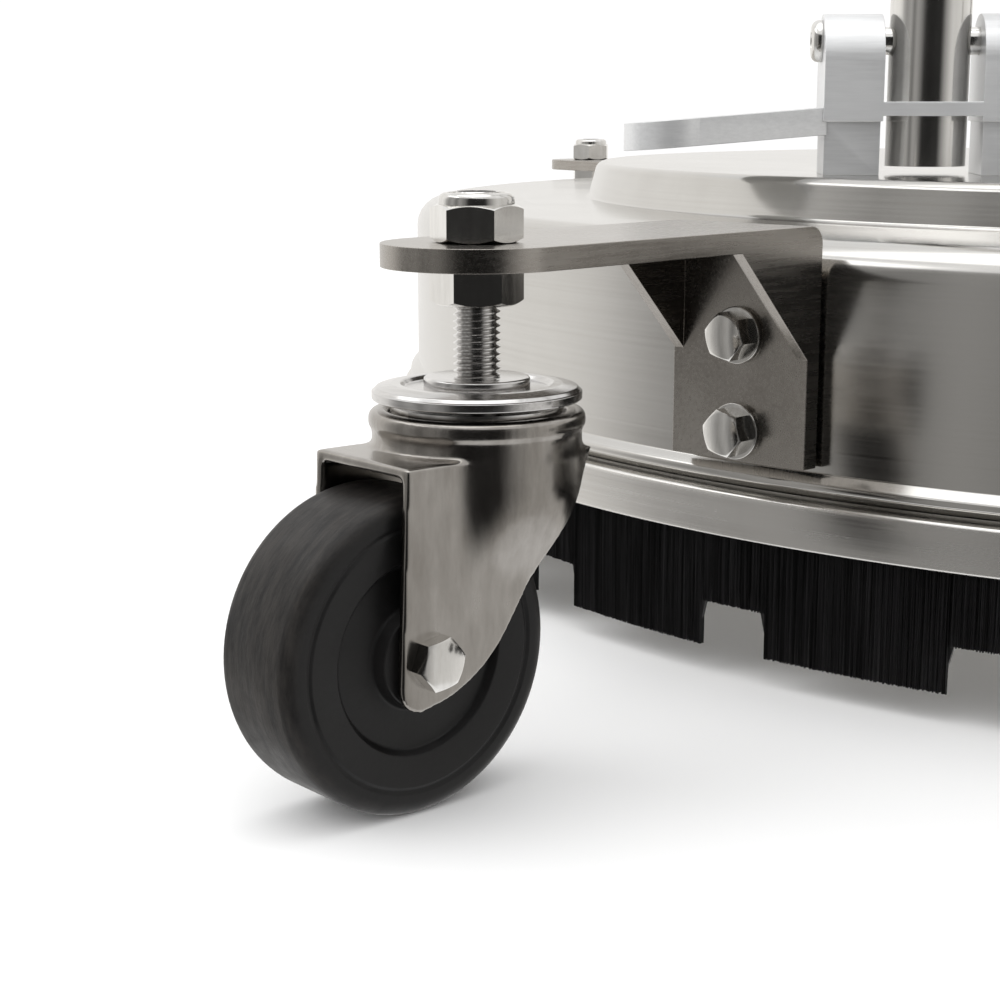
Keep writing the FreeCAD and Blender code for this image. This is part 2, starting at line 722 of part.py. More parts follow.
def swivel_bearing(z):
    """Ball bearing as a race ring pair with the balls' track between."""
    return spun([
        rz(spindle_r + 0.02, z), rz(11.0, z), rz(11.0, z + 1.0), rz(14.5, z + 1.0), rz(14.5, z),
        rz(17.45, z), rz(17.45, z + 11.0), rz(14.5, z + 11.0), rz(14.5, z + 10.0),
        rz(11.0, z + 10.0), rz(11.0, z + 11.0), rz(spindle_r + 0.02, z + 11.0),
    ])


def rotor_spindle():
    shaft = cylinder(spindle_r - 0.03, rz(0, hub_z), rz(0, plateau_z + 24))
    return shaft.cut(cylinder(3.5, rz(0, hub_z - 1), rz(0, plateau_z + 30)))


def rotor_hub():
    """Square block under the spindle, tapped on two sides for the spray tubes."""
    block = Part.makeBox(44, 44, 26, V(-22, -22, hub_z - 13))
    edges = [e for e in block.Edges if abs(e.Vertexes[0].Z - e.Vertexes[1].Z) > 20]
    block = block.makeFillet(5.0, edges)
    block = block.cut(cylinder(spindle_r, rz(0, hub_z), rz(0, hub_z + 30)))
    tubes = cylinder(spray_tube_d / 2, V(-40, 0, hub_z), V(40, 0, hub_z))
    gap = cylinder(spray_tube_d / 2, V(-9, 0, hub_z), V(9, 0, hub_z))
    return block.cut(tubes.cut(gap))


def spray_tube(sign):
    """Spray tube from the hub, bent down at its tip to a hexagonal nozzle socket."""
    corner_x = bar_reach - tip_bend_r
    mid = math.sqrt(0.5)
    start = V(9.3, 0, hub_z)
    corner = V(corner_x, 0, hub_z)
    centre = corner - UP * tip_bend_r
    path = Part.Wire([
        Part.LineSegment(start, corner).toShape(),
        Part.Arc(corner, centre + V(mid, 0, mid) * tip_bend_r,
                 V(bar_reach, 0, centre.z)).toShape(),
    ])
    outer = Part.Wire(Part.makeCircle(spray_tube_d / 2, start, V(1, 0, 0)))
    inner = Part.Wire(Part.makeCircle(spray_tube_d / 2 - 2.0, start, V(1, 0, 0)))
    tube = path.makePipeShell([outer], True, False)
    tube = tube.fuse(hexagon(17.0, 8.0, V(bar_reach, 0, socket_z), UP))
    tube = tube.cut(path.makePipeShell([inner], True, False))
    tube = tube.cut(cylinder(4.9, V(bar_reach, 0, socket_z - 2), V(bar_reach, 0, socket_z + socket_depth)))
    return turned(tube, 0 if sign > 0 else 180)


def nozzle(sign):
    tip = spun([
        rz(0, socket_depth), rz(4.85, socket_depth), rz(4.85, 0), rz(5.6, 0), rz(5.6, -4.5),
        rz(3.4, -7.5), rz(1.2, -7.5), rz(0.6, -5.5), rz(0, -5.5),
    ])
    tip.translate(V(sign * bar_reach, 0, socket_z - 0.05))
    return tip


def save_casters():
    stem = caster_stem()
    fork = caster_fork()
    bolt = axle_bolt()
    nut = axle_nut()
    bush = axle_bush()
    disc = wheel()
    arm = caster_arm()
    for name, angle in casters.items():
        save(name + "_arm", turned(arm, angle))
        save(name + "_stem", at_stem(stem, name))
        save(name + "_fork", at_stem(fork, name))
        save(name + "_axle_bolt", at_stem(bolt, name))
        save(name + "_axle_nut", at_stem(nut, name))
        save(name + "_axle_bush", at_stem(bush, name))
        save(name + "_wheel", at_stem(disc, name))


def save_shared():
    """What the four casters share: fasteners and the fixed races, one node for each kind."""
    angles = list(casters.values())
    save("arm_bolts", [turned(arm_bolt(z), a) for a in angles for z in bolt_z])
    save("arm_washers", [turned(arm_washer(z), a) for a in angles for z in bolt_z])
    save("arm_nuts", [turned(arm_nut(z), a) for a in angles for z in bolt_z])
    save("stem_lock_nuts", [at_stem(stem_lock_nut(), name) for name in casters])
    save("stem_jam_nuts", [at_stem(stem_jam_nut(), name) for name in casters])
    save("swivel_caps", [at_stem(swivel_cap(), name) for name in casters])
    save("ball_races", [at_stem(ball_race(), name) for name in casters])


def save_handle():
    save("handle_mount_left", handle_mount(-1))
    save("handle_mount_right", handle_mount(1))
    save("mount_screws", [mount_screw(x, y) for x, y in mount_screw_places()])
    save("pivot_bolts", [pivot_bolt(-1), pivot_bolt(1)])
    save("handle_fork", handle_fork())
    save("handle_tee", handle_tee())
    save("grip_left", grip(-1))
    save("grip_right", grip(1))
    save("gun_body", gun_body())
    save("gun_trigger", trigger())
    save("feed_pipe", feed_pipe())


def save_swivel():
    save("swivel_body", swivel_body())
    save("swivel_screws", [swivel_screw(place) for place in swivel_screw_places()])
    save("swivel_bearings", [swivel_bearing(plateau_z - 13), swivel_bearing(plateau_z + 3)])
    save("rotor_spindle", rotor_spindle())
    save("rotor_hub", rotor_hub())
    save("spray_tube_left", spray_tube(-1))
    save("spray_tube_right", spray_tube(1))
    save("spray_nozzle_left", nozzle(-1))
    save("spray_nozzle_right", nozzle(1))


os.makedirs("parts", exist_ok=True)
save("deck_band", deck_band())
save("deck_pan", deck_pan())
save("rim_ring", rim_ring())
save("brush_skirt", brush_skirt())
save_shared()
save_casters()
save_handle()
save_swivel()
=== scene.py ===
import json
import math
import random

import bmesh
import bpy
from mathutils import Matrix, Vector


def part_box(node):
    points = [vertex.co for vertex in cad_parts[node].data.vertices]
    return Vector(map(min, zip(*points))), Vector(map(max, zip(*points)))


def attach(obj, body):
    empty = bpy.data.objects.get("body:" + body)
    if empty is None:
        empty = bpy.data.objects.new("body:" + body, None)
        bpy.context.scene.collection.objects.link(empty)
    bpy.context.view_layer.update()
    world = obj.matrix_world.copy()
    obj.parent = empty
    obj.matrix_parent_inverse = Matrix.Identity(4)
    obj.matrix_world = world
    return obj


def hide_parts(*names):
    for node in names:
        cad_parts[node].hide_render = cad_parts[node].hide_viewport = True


# A flat-surface cleaner: a round stainless deck on four swivel casters, with a brush skirt.
# Sizes are millimetres, and MM turns them into the frame's metres. +Z is up, +Y is the push way.

MM = 0.001
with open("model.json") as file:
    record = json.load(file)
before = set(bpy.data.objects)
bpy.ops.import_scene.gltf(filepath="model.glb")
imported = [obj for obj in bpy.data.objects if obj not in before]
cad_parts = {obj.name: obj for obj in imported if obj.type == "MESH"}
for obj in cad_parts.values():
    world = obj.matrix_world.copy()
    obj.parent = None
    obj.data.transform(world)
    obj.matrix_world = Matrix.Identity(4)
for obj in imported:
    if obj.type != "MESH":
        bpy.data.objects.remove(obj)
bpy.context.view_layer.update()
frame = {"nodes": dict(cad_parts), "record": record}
nodes = frame["nodes"]
record = frame["record"]
slot_of = {entry["node"]: entry["material_slot"] for entry in record["subparts"]}
corners = ("rear_left", "rear_right", "front_left", "front_right")
chance = random.Random(7)


def centre(node):
    low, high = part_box(node)
    return (low + high) / 2


def top(node):
    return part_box(node)[1].z / MM


def bottom(node):
    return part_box(node)[0].z / MM


# ---------------------------------------------------------------- materials

class Surface:
    """One Principled material, with the texture chains that the object's surfaces share."""

    def __init__(self, name, **sockets):
        self.material = bpy.data.materials.new(name)
        self.material.use_nodes = True
        self.tree = self.material.node_tree
        self.shader = self.tree.nodes["Principled BSDF"]
        for socket, value in sockets.items():
            self.shader.inputs[socket.replace("_", " ")].default_value = value

    def node(self, kind, **settings):
        made = self.tree.nodes.new(kind)
        for key, value in settings.items():
            setattr(made, key, value)
        return made

    def feed(self, target, value):
        if isinstance(value, bpy.types.NodeSocket):
            self.tree.links.new(value, target)
        else:
            target.default_value = value

    def math(self, operation, first, second=0.0):
        made = self.node("ShaderNodeMath", operation=operation)
        self.feed(made.inputs[0], first)
        self.feed(made.inputs[1], second)
        return made.outputs[0]

    def flat_place(self):
        return self.node("ShaderNodeTexCoord").outputs["Object"]

    def round_place(self):
        """Angle, radius and height about the piece's own Z axis; the seam is on +Y."""
        split = self.node("ShaderNodeSeparateXYZ")
        self.feed(split.inputs[0], self.flat_place())
        x, y, z = split.outputs
        angle = self.math("ARCTAN2", x, self.math("MULTIPLY", y, -1.0))
        squares = self.math("ADD", self.math("MULTIPLY", x, x), self.math("MULTIPLY", y, y))
        join = self.node("ShaderNodeCombineXYZ")
        self.feed(join.inputs[0], angle)
        self.feed(join.inputs[1], self.math("SQRT", squares))
        self.feed(join.inputs[2], z)
        return join.outputs[0]

    def noise(self, place, scale, detail=4.0, rough=0.6):
        mapping = self.node("ShaderNodeMapping")
        self.feed(mapping.inputs["Vector"], place)
        mapping.inputs["Scale"].default_value = scale
        made = self.node("ShaderNodeTexNoise")
        self.feed(made.inputs["Vector"], mapping.outputs[0])
        made.inputs["Scale"].default_value = 1.0
        made.inputs["Detail"].default_value = detail
        made.inputs["Roughness"].default_value = rough
        return made.outputs["Fac"]

    def spread(self, value, low, high, start=0.3, end=0.7):
        made = self.node("ShaderNodeMapRange")
        self.feed(made.inputs["Value"], value)
        made.inputs["From Min"].default_value = start
        made.inputs["From Max"].default_value = end
        made.inputs["To Min"].default_value = low
        made.inputs["To Max"].default_value = high
        return made.outputs[0]

    def blend(self, amount, first, second):
        made = self.node("ShaderNodeMix", data_type="RGBA")
        self.feed(made.inputs[0], amount)
        for target, colour in ((made.inputs[6], first), (made.inputs[7], second)):
            linked = isinstance(colour, bpy.types.NodeSocket)
            self.feed(target, colour if linked else (*colour, 1.0))
        return made.outputs[2]

    def edges(self, start=0.52, end=0.62):
        return self.spread(self.node("ShaderNodeNewGeometry").outputs["Pointiness"],
                           0.0, 1.0, start, end)

    def bump(self, height, depth, strength=1.0, under=None):
        made = self.node("ShaderNodeBump")
        made.inputs["Strength"].default_value = strength
        made.inputs["Distance"].default_value = depth
        self.feed(made.inputs["Height"], height)
        if under:
            self.feed(made.inputs["Normal"], under)
        return made.outputs[0]

    def finish(self, colour, rough, normal=None):
        self.feed(self.shader.inputs["Base Color"], colour)
        self.feed(self.shader.inputs["Roughness"], rough)
        if normal:
            self.feed(self.shader.inputs["Normal"], normal)
        return self.material


def metal(name, dark, light, rough, grain, turned=False, relief=0.000006, brushed=0.0,
          metallic=1.0):
    """Bare metal: fine lines along the grain, cloudy handling marks and a painted edge highlight
    that lightens convex edges.
    """
    look = Surface(name, Metallic=metallic, Anisotropic=brushed)
    place = look.round_place() if turned else look.flat_place()
    if brushed:
        tangent = look.node("ShaderNodeTangent", direction_type="RADIAL", axis="Z")
        look.feed(look.shader.inputs["Tangent"], tangent.outputs[0])
    lines = look.noise(place, grain, detail=5.0)
    clouds = look.noise(look.flat_place(), (22.0, 22.0, 22.0), detail=5.0)
    mix = look.math("ADD", look.math("MULTIPLY", lines, 0.45), look.math("MULTIPLY", clouds, 0.55))
    body = look.blend(look.spread(mix, 0.0, 1.0, 0.35, 0.65), dark, light)
    # Painted highlight: convex edges (pointiness) are blended towards a brighter tint of the
    # metal.
    edge_highlight = look.math("MULTIPLY", look.edges(), 0.6)
    colour = look.blend(edge_highlight, body, tuple(min(1.0, 1.18 * c) for c in light))
    return look.finish(colour, look.spread(mix, rough[0], rough[1], 0.35, 0.65),
                       look.bump(lines, relief))


def moulded(name, dark, light, rough, grain=700.0, relief=0.00004, dust=(0.16, 0.14, 0.12),
            dusty=0.25, coat=0.0):
    """Rubber or plastic: a fine moulded grain, uneven gloss and dust on what sticks out."""
    look = Surface(name, Coat_Weight=coat, Coat_Roughness=0.25)
    place = look.flat_place()
    fine = look.noise(place, (grain, grain, grain), detail=3.0)
    clouds = look.noise(place, (45.0, 45.0, 45.0), detail=6.0)
    body = look.blend(look.spread(clouds, 0.0, 1.0), dark, light)
    rubbed = look.math("MULTIPLY", look.edges(0.5, 0.6), look.spread(clouds, 0.0, dusty, 0.4, 0.6))
    colour = look.blend(rubbed, body, dust)
    return look.finish(colour, look.spread(clouds, rough[0], rough[1]), look.bump(fine, relief))


def tread_rubber(name):
    """Black caster rubber whose running surface is scuffed to a lighter brown grey."""
    look = Surface(name, Specular_IOR_Level=0.3)
    around = look.round_place()
    flat = look.flat_place()
    split = look.node("ShaderNodeSeparateXYZ")
    look.feed(split.inputs[0], around)
    wheel_r = wheel_d / 2 * MM
    running = look.spread(split.outputs[1], 0.0, 1.0, wheel_r - 0.0035, wheel_r - 0.0004)
    scuffs = look.noise(around, (2.4, 60.0, 420.0), detail=7.0, rough=0.7)
    pits = look.noise(flat, (520.0, 520.0, 520.0), detail=4.0)
    clouds = look.noise(flat, (70.0, 70.0, 70.0), detail=6.0)
    black = look.blend(look.spread(clouds, 0.0, 1.0), (0.004, 0.004, 0.004), (0.011, 0.010, 0.010))
    scuffed = look.blend(look.spread(scuffs, 0.0, 1.0, 0.38, 0.62), (0.007, 0.006, 0.006),
                         (0.030, 0.026, 0.023))
    colour = look.blend(look.math("MULTIPLY", running, 0.85), black, scuffed)
    rough = look.spread(clouds, 0.34, 0.62)
    normal = look.bump(scuffs, 0.00012, 0.8, look.bump(pits, 0.00005))
    return look.finish(colour, rough, normal)


def bristle_black(name):
    """Nylon filaments: black, a little glossy, each with its own shade down its length."""
    look = Surface(name, Specular_IOR_Level=0.3)
    strands = look.noise(look.round_place(), (420.0, 60.0, 12.0), detail=5.0, rough=0.7)
    colour = look.blend(look.spread(strands, 0.0, 1.0, 0.4, 0.62), (0.003, 0.003, 0.003),
                        (0.017, 0.016, 0.017))
    return look.finish(colour, look.spread(strands, 0.38, 0.6), look.bump(strands, 0.0003))


wheel_d = 2 * centre("rear_left_wheel").z / MM

looks = {
    "deck_steel": metal("deck_steel", (0.53, 0.518, 0.495), (0.60, 0.588, 0.567), (0.12, 0.2),
                        (1.6, 900.0, 900.0), turned=True, relief=0.0000022, brushed=0.5),
    "rim_steel": metal("rim_steel", (0.62, 0.605, 0.58), (0.76, 0.745, 0.72), (0.20, 0.32),
                       (2.0, 1100.0, 1100.0), turned=True, relief=0.000005, brushed=0.4),
    "bristle": bristle_black("bristle"),
    "arm_steel": metal("arm_steel", (0.26, 0.239, 0.216), (0.40, 0.377, 0.349), (0.20, 0.34),
                       (60.0, 1300.0, 1300.0), relief=0.000012),
    "race_steel": metal("race_steel", (0.50, 0.49, 0.48), (0.68, 0.67, 0.66), (0.12, 0.24),
                        (2.5, 1600.0, 1600.0), turned=True, relief=0.000004, brushed=0.3),
    "fork_steel": metal("fork_steel", (0.25, 0.233, 0.213), (0.43, 0.41, 0.385), (0.17, 0.30),
                        (260.0, 260.0, 60.0), relief=0.00001),
    "wheel_rubber": tread_rubber("wheel_rubber"),
    "bush_bronze": metal("bush_bronze", (0.40, 0.29, 0.13), (0.58, 0.44, 0.22), (0.25, 0.4),
                         (3.0, 1500.0, 1500.0), turned=True),
    "fastener_steel": metal("fastener_steel", (0.52, 0.505, 0.48), (0.74, 0.73, 0.71), (0.09, 0.2),
                            (500.0, 500.0, 90.0), relief=0.000008),
    "mount_aluminium": metal("mount_aluminium", (0.62, 0.625, 0.63), (0.76, 0.765, 0.77),
                             (0.28, 0.4), (90.0, 1200.0, 1200.0), relief=0.000008, metallic=0.5),
    "tube_steel": metal("tube_steel", (0.56, 0.545, 0.52), (0.70, 0.69, 0.67), (0.10, 0.2),
                        (500.0, 500.0, 8.0), relief=0.000003),
    "grip_rubber": moulded("grip_rubber", (0.010, 0.010, 0.011), (0.030, 0.030, 0.032),
                           (0.55, 0.78)),
    "gun_plastic": moulded("gun_plastic", (0.016, 0.016, 0.018), (0.036, 0.036, 0.040),
                           (0.38, 0.55), relief=0.00002),
    "trigger_plastic": moulded("trigger_plastic", (0.055, 0.055, 0.060), (0.100, 0.100, 0.105),
                               (0.24, 0.4), relief=0.00001, coat=0.2),
    "swivel_steel": metal("swivel_steel", (0.50, 0.49, 0.47), (0.66, 0.65, 0.63), (0.14, 0.28),
                          (2.0, 1300.0, 1300.0), turned=True, relief=0.000006, brushed=0.3),
    "bearing_steel": metal("bearing_steel", (0.52, 0.52, 0.53), (0.66, 0.66, 0.67), (0.08, 0.16),
                           (2.0, 1900.0, 1900.0), turned=True, brushed=0.3),
    "nozzle_steel": metal("nozzle_steel", (0.46, 0.45, 0.43), (0.60, 0.59, 0.57), (0.18, 0.3),
                          (2.0, 1500.0, 1500.0), turned=True),
}


# ---------------------------------------------------------------- mesh code

def piece(name, shell, body, slot, replaced, matrix=None, sharp_deg=32.0):
    """Make an object from a bmesh drawn in millimetres, and tie it to its body and its nodes."""
    bmesh.ops.scale(shell, vec=(MM, MM, MM), verts=shell.verts)
    bmesh.ops.remove_doubles(shell, verts=shell.verts, dist=0.000002)
    bmesh.ops.recalc_face_normals(shell, faces=shell.faces)
    mesh = bpy.data.meshes.new(name)
    shell.to_mesh(mesh)
    shell.free()
    mesh.shade_smooth()
    mesh.set_sharp_from_angle(angle=math.radians(sharp_deg))
    mesh.materials.append(looks[slot])
    made = bpy.data.objects.new(name, mesh)
    bpy.context.scene.collection.objects.link(made)
    if matrix:
        made.matrix_world = matrix
    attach(made, body)
    if replaced:
        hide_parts(*replaced)
    return made


def filleted(corners_in, steps=4):
    """Outline points from corners (across, up, fillet): a fillet above 0 rounds its corner."""
    outline = []
    count = len(corners_in)
    for i, (across, up, fillet) in enumerate(corners_in):
        corner = Vector((across, up, 0))
        if fillet <= 0:
            outline.append(corner)
            continue
        before = (Vector((*corners_in[i - 1][:2], 0)) - corner).normalized()
        after = (Vector((*corners_in[(i + 1) % count][:2], 0)) - corner).normalized()
        half = before.angle(after) / 2
        middle = corner + (before + after).normalized() * fillet / math.sin(half)
        start = corner + before * fillet / math.tan(half) - middle
        end = corner + after * fillet / math.tan(half) - middle
        outline += [middle + start.slerp(end, k / steps).normalized() * fillet
                    for k in range(steps + 1)]
    return outline


def skin(shell, rings, closed_along=True):
    """Join rings of equal length with quads."""
    made = [[shell.verts.new(point) for point in ring] for ring in rings]
    count = len(made[0])
    last = len(made) if closed_along else len(made) - 1
    for i in range(last):
        here = made[i]
        beyond = made[(i + 1) % len(made)]
        for k in range(count):
            nxt = (k + 1) % count
            shell.faces.new((here[k], here[nxt], beyond[nxt], beyond[k]))
    return made


def spin(shell, corners_in, segments=96, matrix=None, steps=4):
    """A closed outline of (radius, height, fillet) turned about Z."""
    rings = []
    for point in filleted(corners_in, steps):
        ring = []
        for k in range(segments):
            angle = 2 * math.pi * k / segments
            spot = Vector((point.x * math.cos(angle), point.x * math.sin(angle), point.y))
            ring.append(matrix @ spot if matrix else spot)
        rings.append(ring)
    skin(shell, rings)
    return shell


def sweep(shell, path, outer, inner, segments=48):
    """A tube with a wall along a path, its two ends closed by rings."""
    rings = []
    side = Vector((0, 1, 0))
    for i, spot in enumerate(path):
        along = path[min(i + 1, len(path) - 1)] - path[max(i - 1, 0)]
        along.normalize()
        side = (side - along * side.dot(along)).normalized()
        rings.append((spot, side.copy(), along.cross(side)))
    loops = []
    for radius, frames in ((outer, rings), (inner, rings[::-1])):
        for spot, first, second in frames:
            loops.append([spot + (first * math.cos(2 * math.pi * k / segments)
                                  + second * math.sin(2 * math.pi * k / segments)) * radius
                          for k in range(segments)])
    skin(shell, loops)
    return shell


def hexagon(shell, flats, height, bore, matrix=None, turn_deg=0.0, chamfers=(True, True),
            face=0.955):
    """A hexagon whose corners are turned off at 30 degrees; its base is at the local Z = 0."""
    facets = 12
    half = flats / 2
    face_r = half * face
    slope = math.tan(math.radians(30))
    rings = [[], [], [], [], [], []]
    for k in range(6 * facets):
        angle = math.radians(60 * k / facets)
        within = math.radians((60 * k / facets + 30) % 60 - 30)
        reach = half / math.cos(math.radians(30) - abs(within))
        cut = (reach - face_r) * slope
        low = cut if chamfers[0] else 0.0
        high = height - (cut if chamfers[1] else 0.0)
        spin_angle = angle + math.radians(turn_deg)
        toward = Vector((math.cos(spin_angle), math.sin(spin_angle), 0))
        marks = ((bore, 0), (face_r, 0), (reach, low), (reach, high), (face_r, height),
                 (bore, height))
        for ring, (radius, z) in zip(rings, marks):
            spot = toward * radius + Vector((0, 0, z))
            ring.append(matrix @ spot if matrix else spot)
    skin(shell, rings)
    return shell


def screw_thread(shell, radius, low, high, pitch=1.5, depth=0.82):
    """A rod with a helical ridge; its rows climb with the ridge, so the crests stay crisp."""
    around = 36
    per_turn = 6
    wave = (0.0, 0.35, 1.0, 1.0, 0.35, 0.0)
    rows = int((high - low) / pitch) * per_turn + 2 * per_turn
    rings = []
    for j in range(rows):
        ring = []
        for k in range(around):
            z = low - pitch + pitch * (j / per_turn + k / around)
            local = radius - depth * (1.0 - wave[j % per_turn])
            local = min(local, radius - 0.9 + max(0.0, high - z) * 0.9)
            if z <= low or z >= high:
                local = radius - 0.9
            angle = 2 * math.pi * k / around
            ring.append(Vector((local * math.cos(angle), local * math.sin(angle),
                                min(max(z, low), high))))
        rings.append(ring)
    columns = [[shell.verts.new(point) for point in ring] for ring in rings]
    for j in range(rows - 1):
        for k in range(around - 1):
            shell.faces.new((columns[j][k], columns[j][k + 1], columns[j + 1][k + 1],
                             columns[j + 1][k]))
        if j + per_turn < rows - 1:
            shell.faces.new((columns[j + per_turn][0], columns[j + per_turn + 1][0],
                             columns[j + 1][around - 1], columns[j][around - 1]))
    return shell


def softened(node, width, matrix=None, segments=2):
    """A copy of a CAD node's mesh with its edges broken, in place of the node."""
    shell = bmesh.new()
    shell.from_mesh(nodes[node].data)
    bmesh.ops.remove_doubles(shell, verts=shell.verts, dist=0.000001)
    bmesh.ops.dissolve_limit(shell, angle_limit=math.radians(0.6), verts=shell.verts,
                             edges=shell.edges)
    if matrix:
        bmesh.ops.transform(shell, matrix=matrix.inverted(), verts=shell.verts)
    bmesh.ops.scale(shell, vec=(1 / MM, 1 / MM, 1 / MM), verts=shell.verts)
    made = piece(node + "_piece", shell, body_of[node], slot_of[node], (node,), matrix)
    bevel = made.modifiers.new("broken_edges", "BEVEL")
    bevel.width = width * MM
    bevel.segments = segments
    bevel.limit_method = "ANGLE"
    bevel.angle_limit = math.radians(32)
    bevel.harden_normals = True
    return made


body_of = {member: body for body, members in record["behaviour"]["bodies"].items()
           for member in members}

for node_name, node_object in nodes.items():
    node_object.data.materials.clear()
    node_object.data.materials.append(looks[slot_of[node_name]])


# ---------------------------------------------------------------- deck and rim

wall_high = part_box("deck_band")[1]
pan_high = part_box("deck_pan")[1]
rim_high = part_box("rim_ring")[1]
bead_r = wall_high.x / MM
wall_r = pan_high.x / MM
rim_r = rim_high.x / MM
sheet = 2.0
shoulder_r = 9.0
wall_top = top("deck_band") + shoulder_r
plateau_top = pan_high.z / MM
plateau_r = wall_r - 62.7
bead_bottom = bottom("deck_band")
bead_height = 6.3
flange_r = rim_r - 13.5
hole_r = 24.0
rim_width = 15.5
rim_step = 0.8

deck = spin(bmesh.new(), [
    (hole_r, plateau_top, 0.3),
    (plateau_r - 1.6, plateau_top, 3.4),
    (plateau_r + 1.6, wall_top, 1.6),
    (wall_r, wall_top, shoulder_r),
    (wall_r, bead_bottom + bead_height, 0.8),
    (bead_r, bead_bottom + bead_height * 0.5, 1.7),
    (wall_r, bead_bottom, 0.3),
    (flange_r, bead_bottom, 0.4),
    (flange_r, bead_bottom + sheet, 0.4),
    (wall_r - sheet, bead_bottom + sheet, 0.8),
    (wall_r - sheet, wall_top - sheet, shoulder_r - sheet),
    (plateau_r - 0.6, wall_top - sheet, 1.0),
    (plateau_r - 3.4, plateau_top - sheet, 1.4),
    (hole_r, plateau_top - sheet, 0.3),
], segments=360, steps=6)
piece("deck_shell", deck, "deck", "deck_steel", ("deck_band", "deck_pan"), sharp_deg=60)

rim_top = top("rim_ring") - rim_step
rim_bottom = bottom("rim_ring")
rim_inner = rim_r - rim_width
rim_web = rim_top - sheet
rim = spin(bmesh.new(), [
    (rim_inner, rim_bottom, 0.4), (rim_inner, rim_top, 0.9), (rim_r, rim_top, 1.4),
    (rim_r, rim_bottom, 0.9), (rim_r - sheet, rim_bottom, 0.5), (rim_r - sheet, rim_web, 0.6),
    (rim_inner + sheet, rim_web, 0.6), (rim_inner + sheet, rim_bottom, 0.4),
], segments=360)
spin(rim, [
    (flange_r, rim_top, 0), (flange_r, rim_top + rim_step, 0),
    (wall_r - 3.0, rim_top + rim_step, 0), (wall_r - 3.0, rim_top, 0),
], segments=360)
piece("rim", rim, "deck", "rim_steel", ("rim_ring",))


# ---------------------------------------------------------------- bristles

brush_low, brush_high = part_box("brush_skirt")
brush_outer = brush_high.x / MM
brush_thick = 2.0
brush_inner = brush_outer - brush_thick
long_z = brush_low.z / MM
notch_depth = 11.8
short_z = long_z + notch_depth
root_z = brush_high.z / MM
notch_count = 27
notch_span = 3.8
notch_first = 230.55


def is_notch(angle_deg, spare=0.0):
    pitch = 360.0 / notch_count
    offset = (angle_deg - notch_first + pitch / 2) % pitch - pitch / 2
    return abs(offset) < notch_span / 2 + spare


def filament(shell, angle_deg, radius, width, tip_z, lean):
    """One three-sided bristle, a little thinner at its tip and leaning a little."""
    angle = math.radians(angle_deg)
    out = Vector((math.cos(angle), math.sin(angle), 0))
    side = Vector((-out.y, out.x, 0))
    foot = out * radius
    tip = foot + side * lean
    shape = ((-0.5, -0.3), (0.5, -0.3), (0.0, 0.6))
    rings = []
    for spot, z, scale in ((foot, root_z - 0.4, 1.0), (foot + side * lean * 0.3, 25.0, 1.0),
                           (tip, tip_z, 0.7)):
        rings.append([shell.verts.new(spot + side * a * width * scale + out * b * width * scale
                                      + Vector((0, 0, z))) for a, b in shape])
    for upper, lower in zip(rings, rings[1:]):
        for k in range(3):
            nxt = (k + 1) % 3
            shell.faces.new((upper[k], upper[nxt], lower[nxt], lower[k]))
    shell.faces.new(rings[0])
    shell.faces.new(rings[-1][::-1])


brush = bmesh.new()
core_steps = 27 * 24
core = []
for step in range(core_steps):
    turn = notch_first + 360.0 * step / core_steps
    toward = Vector((math.cos(math.radians(turn)), math.sin(math.radians(turn)), 0))
    foot_z = (short_z if is_notch(turn, 0.3) else long_z) + 0.35
    core.append([toward * (brush_inner + 0.4) + Vector((0, 0, foot_z)),
                 toward * (brush_outer - 0.6) + Vector((0, 0, foot_z)),
                 toward * (brush_outer - 0.6) + Vector((0, 0, root_z - 0.2)),
                 toward * (brush_inner + 0.4) + Vector((0, 0, root_z - 0.2))])
skin(brush, core)
rows = ((brush_outer - 0.45, 3900), (brush_outer - 1.3, 1500), (brush_inner + 0.5, 1500))
for row_r, count in rows:
    for step in range(count):
        turn = 360.0 * (step + chance.uniform(-0.3, 0.3)) / count
        tip = (short_z if is_notch(turn) else long_z) + chance.uniform(0.05, 0.3)
        filament(brush, turn, row_r + chance.uniform(-0.15, 0.15), chance.uniform(0.55, 0.75),
                 tip, chance.uniform(-0.3, 0.3))
for notch in range(notch_count):
    middle = notch_first + 360.0 * notch / notch_count
    for way in (-1, 1):
        for step in range(14):
            turn = middle + way * (notch_span / 2 + chance.uniform(0.02, 0.3))
            row_r = brush_inner + 0.5 + (brush_outer - brush_inner - 1.0) * step / 13
            filament(brush, turn, row_r, 0.7, long_z + chance.uniform(0.05, 0.3), 0.0)
piece("brush", brush, "deck", "bristle", ("brush_skirt",), sharp_deg=50)


# ---------------------------------------------------------------- casters

arm_top = top("rear_left_arm")
arm_thick = 5.0
stem_top = top("rear_left_stem")
cap_low = 84.3
cap_band = 86.3
cap_high = 87.7
cap_r = 22.5
ring_r = 23.3
ring_bore_r = 19.0
ring_low = 78.5
ring_high = 82.3
crown_r = 22.5
race_r = 11.4
race_top = 89.0
stem_r = 5.0
nut_flats = 17.3
bolt_flats = 10.6
bolt_head = 5.3
shank_r = 3.95
bolt_face = 0.93
axle_flats = 10.2
axle_nut_flats = 13.0
axle_nut_height = 6.6
axle_head = 3.7
bolt_heights = (65.9, 89.9)
bolt_seat = wall_r + 0.8 + arm_thick + 1.6
fork_half = 16.0
fork_top = 74.6
axle_z = wheel_d / 2
wheel_half = 12.4


def turn_z(angle):
    return Matrix.Rotation(angle, 4, "Z")


def along_x(x, z):
    """Local Z of a hexagon points outwards along the arm, at a height above the floor."""
    return Matrix.Translation((x, 0, z)) @ Matrix.Rotation(math.pi / 2, 4, "Y")


def along_y(x, y, z, way):
    return Matrix.Translation((x, y, z)) @ Matrix.Rotation(-way * math.pi / 2, 4, "X")


def arm_place(name):
    stem = centre(name + "_stem")
    return turn_z(math.atan2(stem.y, stem.x))


